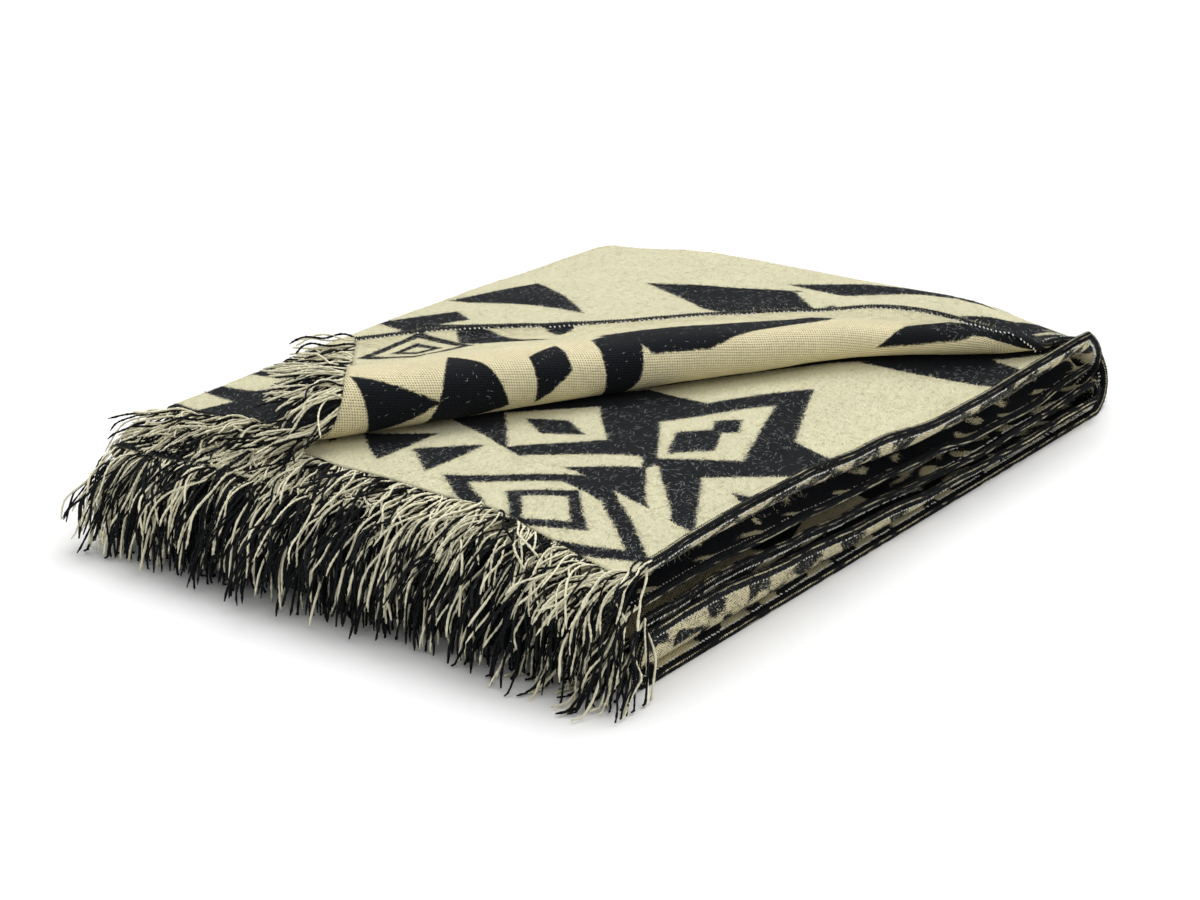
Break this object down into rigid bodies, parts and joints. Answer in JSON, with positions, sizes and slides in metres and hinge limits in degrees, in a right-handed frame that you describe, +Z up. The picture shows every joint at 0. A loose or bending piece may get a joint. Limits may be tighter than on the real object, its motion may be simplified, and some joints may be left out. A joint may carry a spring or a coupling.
{
  "type": "throw blanket",
  "caption": "Folded throw blanket with overlocked hems, a turned-back top layer rolled over a slanting crease, and twisted fringe hanging in tiers at one end.",
  "frame": {"origin": "on the surface that the folded pad lies on, under the middle of its outline", "axes": "+X along the hemmed long side, away from the fringed end; +Y along the fringed side, away from the open hems; +Z up"},
  "size_m": [0.5638, 0.365, 0.093],
  "materials": {
    "cloth": "brushed jacquard in cream and charcoal",
    "fringe_light": "twisted yarn, mostly cream",
    "fringe_dark": "twisted yarn, cream and charcoal"
  },
  "bodies": {
    "root": {"blanket_cloth": "cloth", "fringe_flap": "fringe_light", "fringe_top": "fringe_light", "fringe_middle": "fringe_dark", "fringe_bottom": "fringe_dark"}
  },
  "joints": []
}
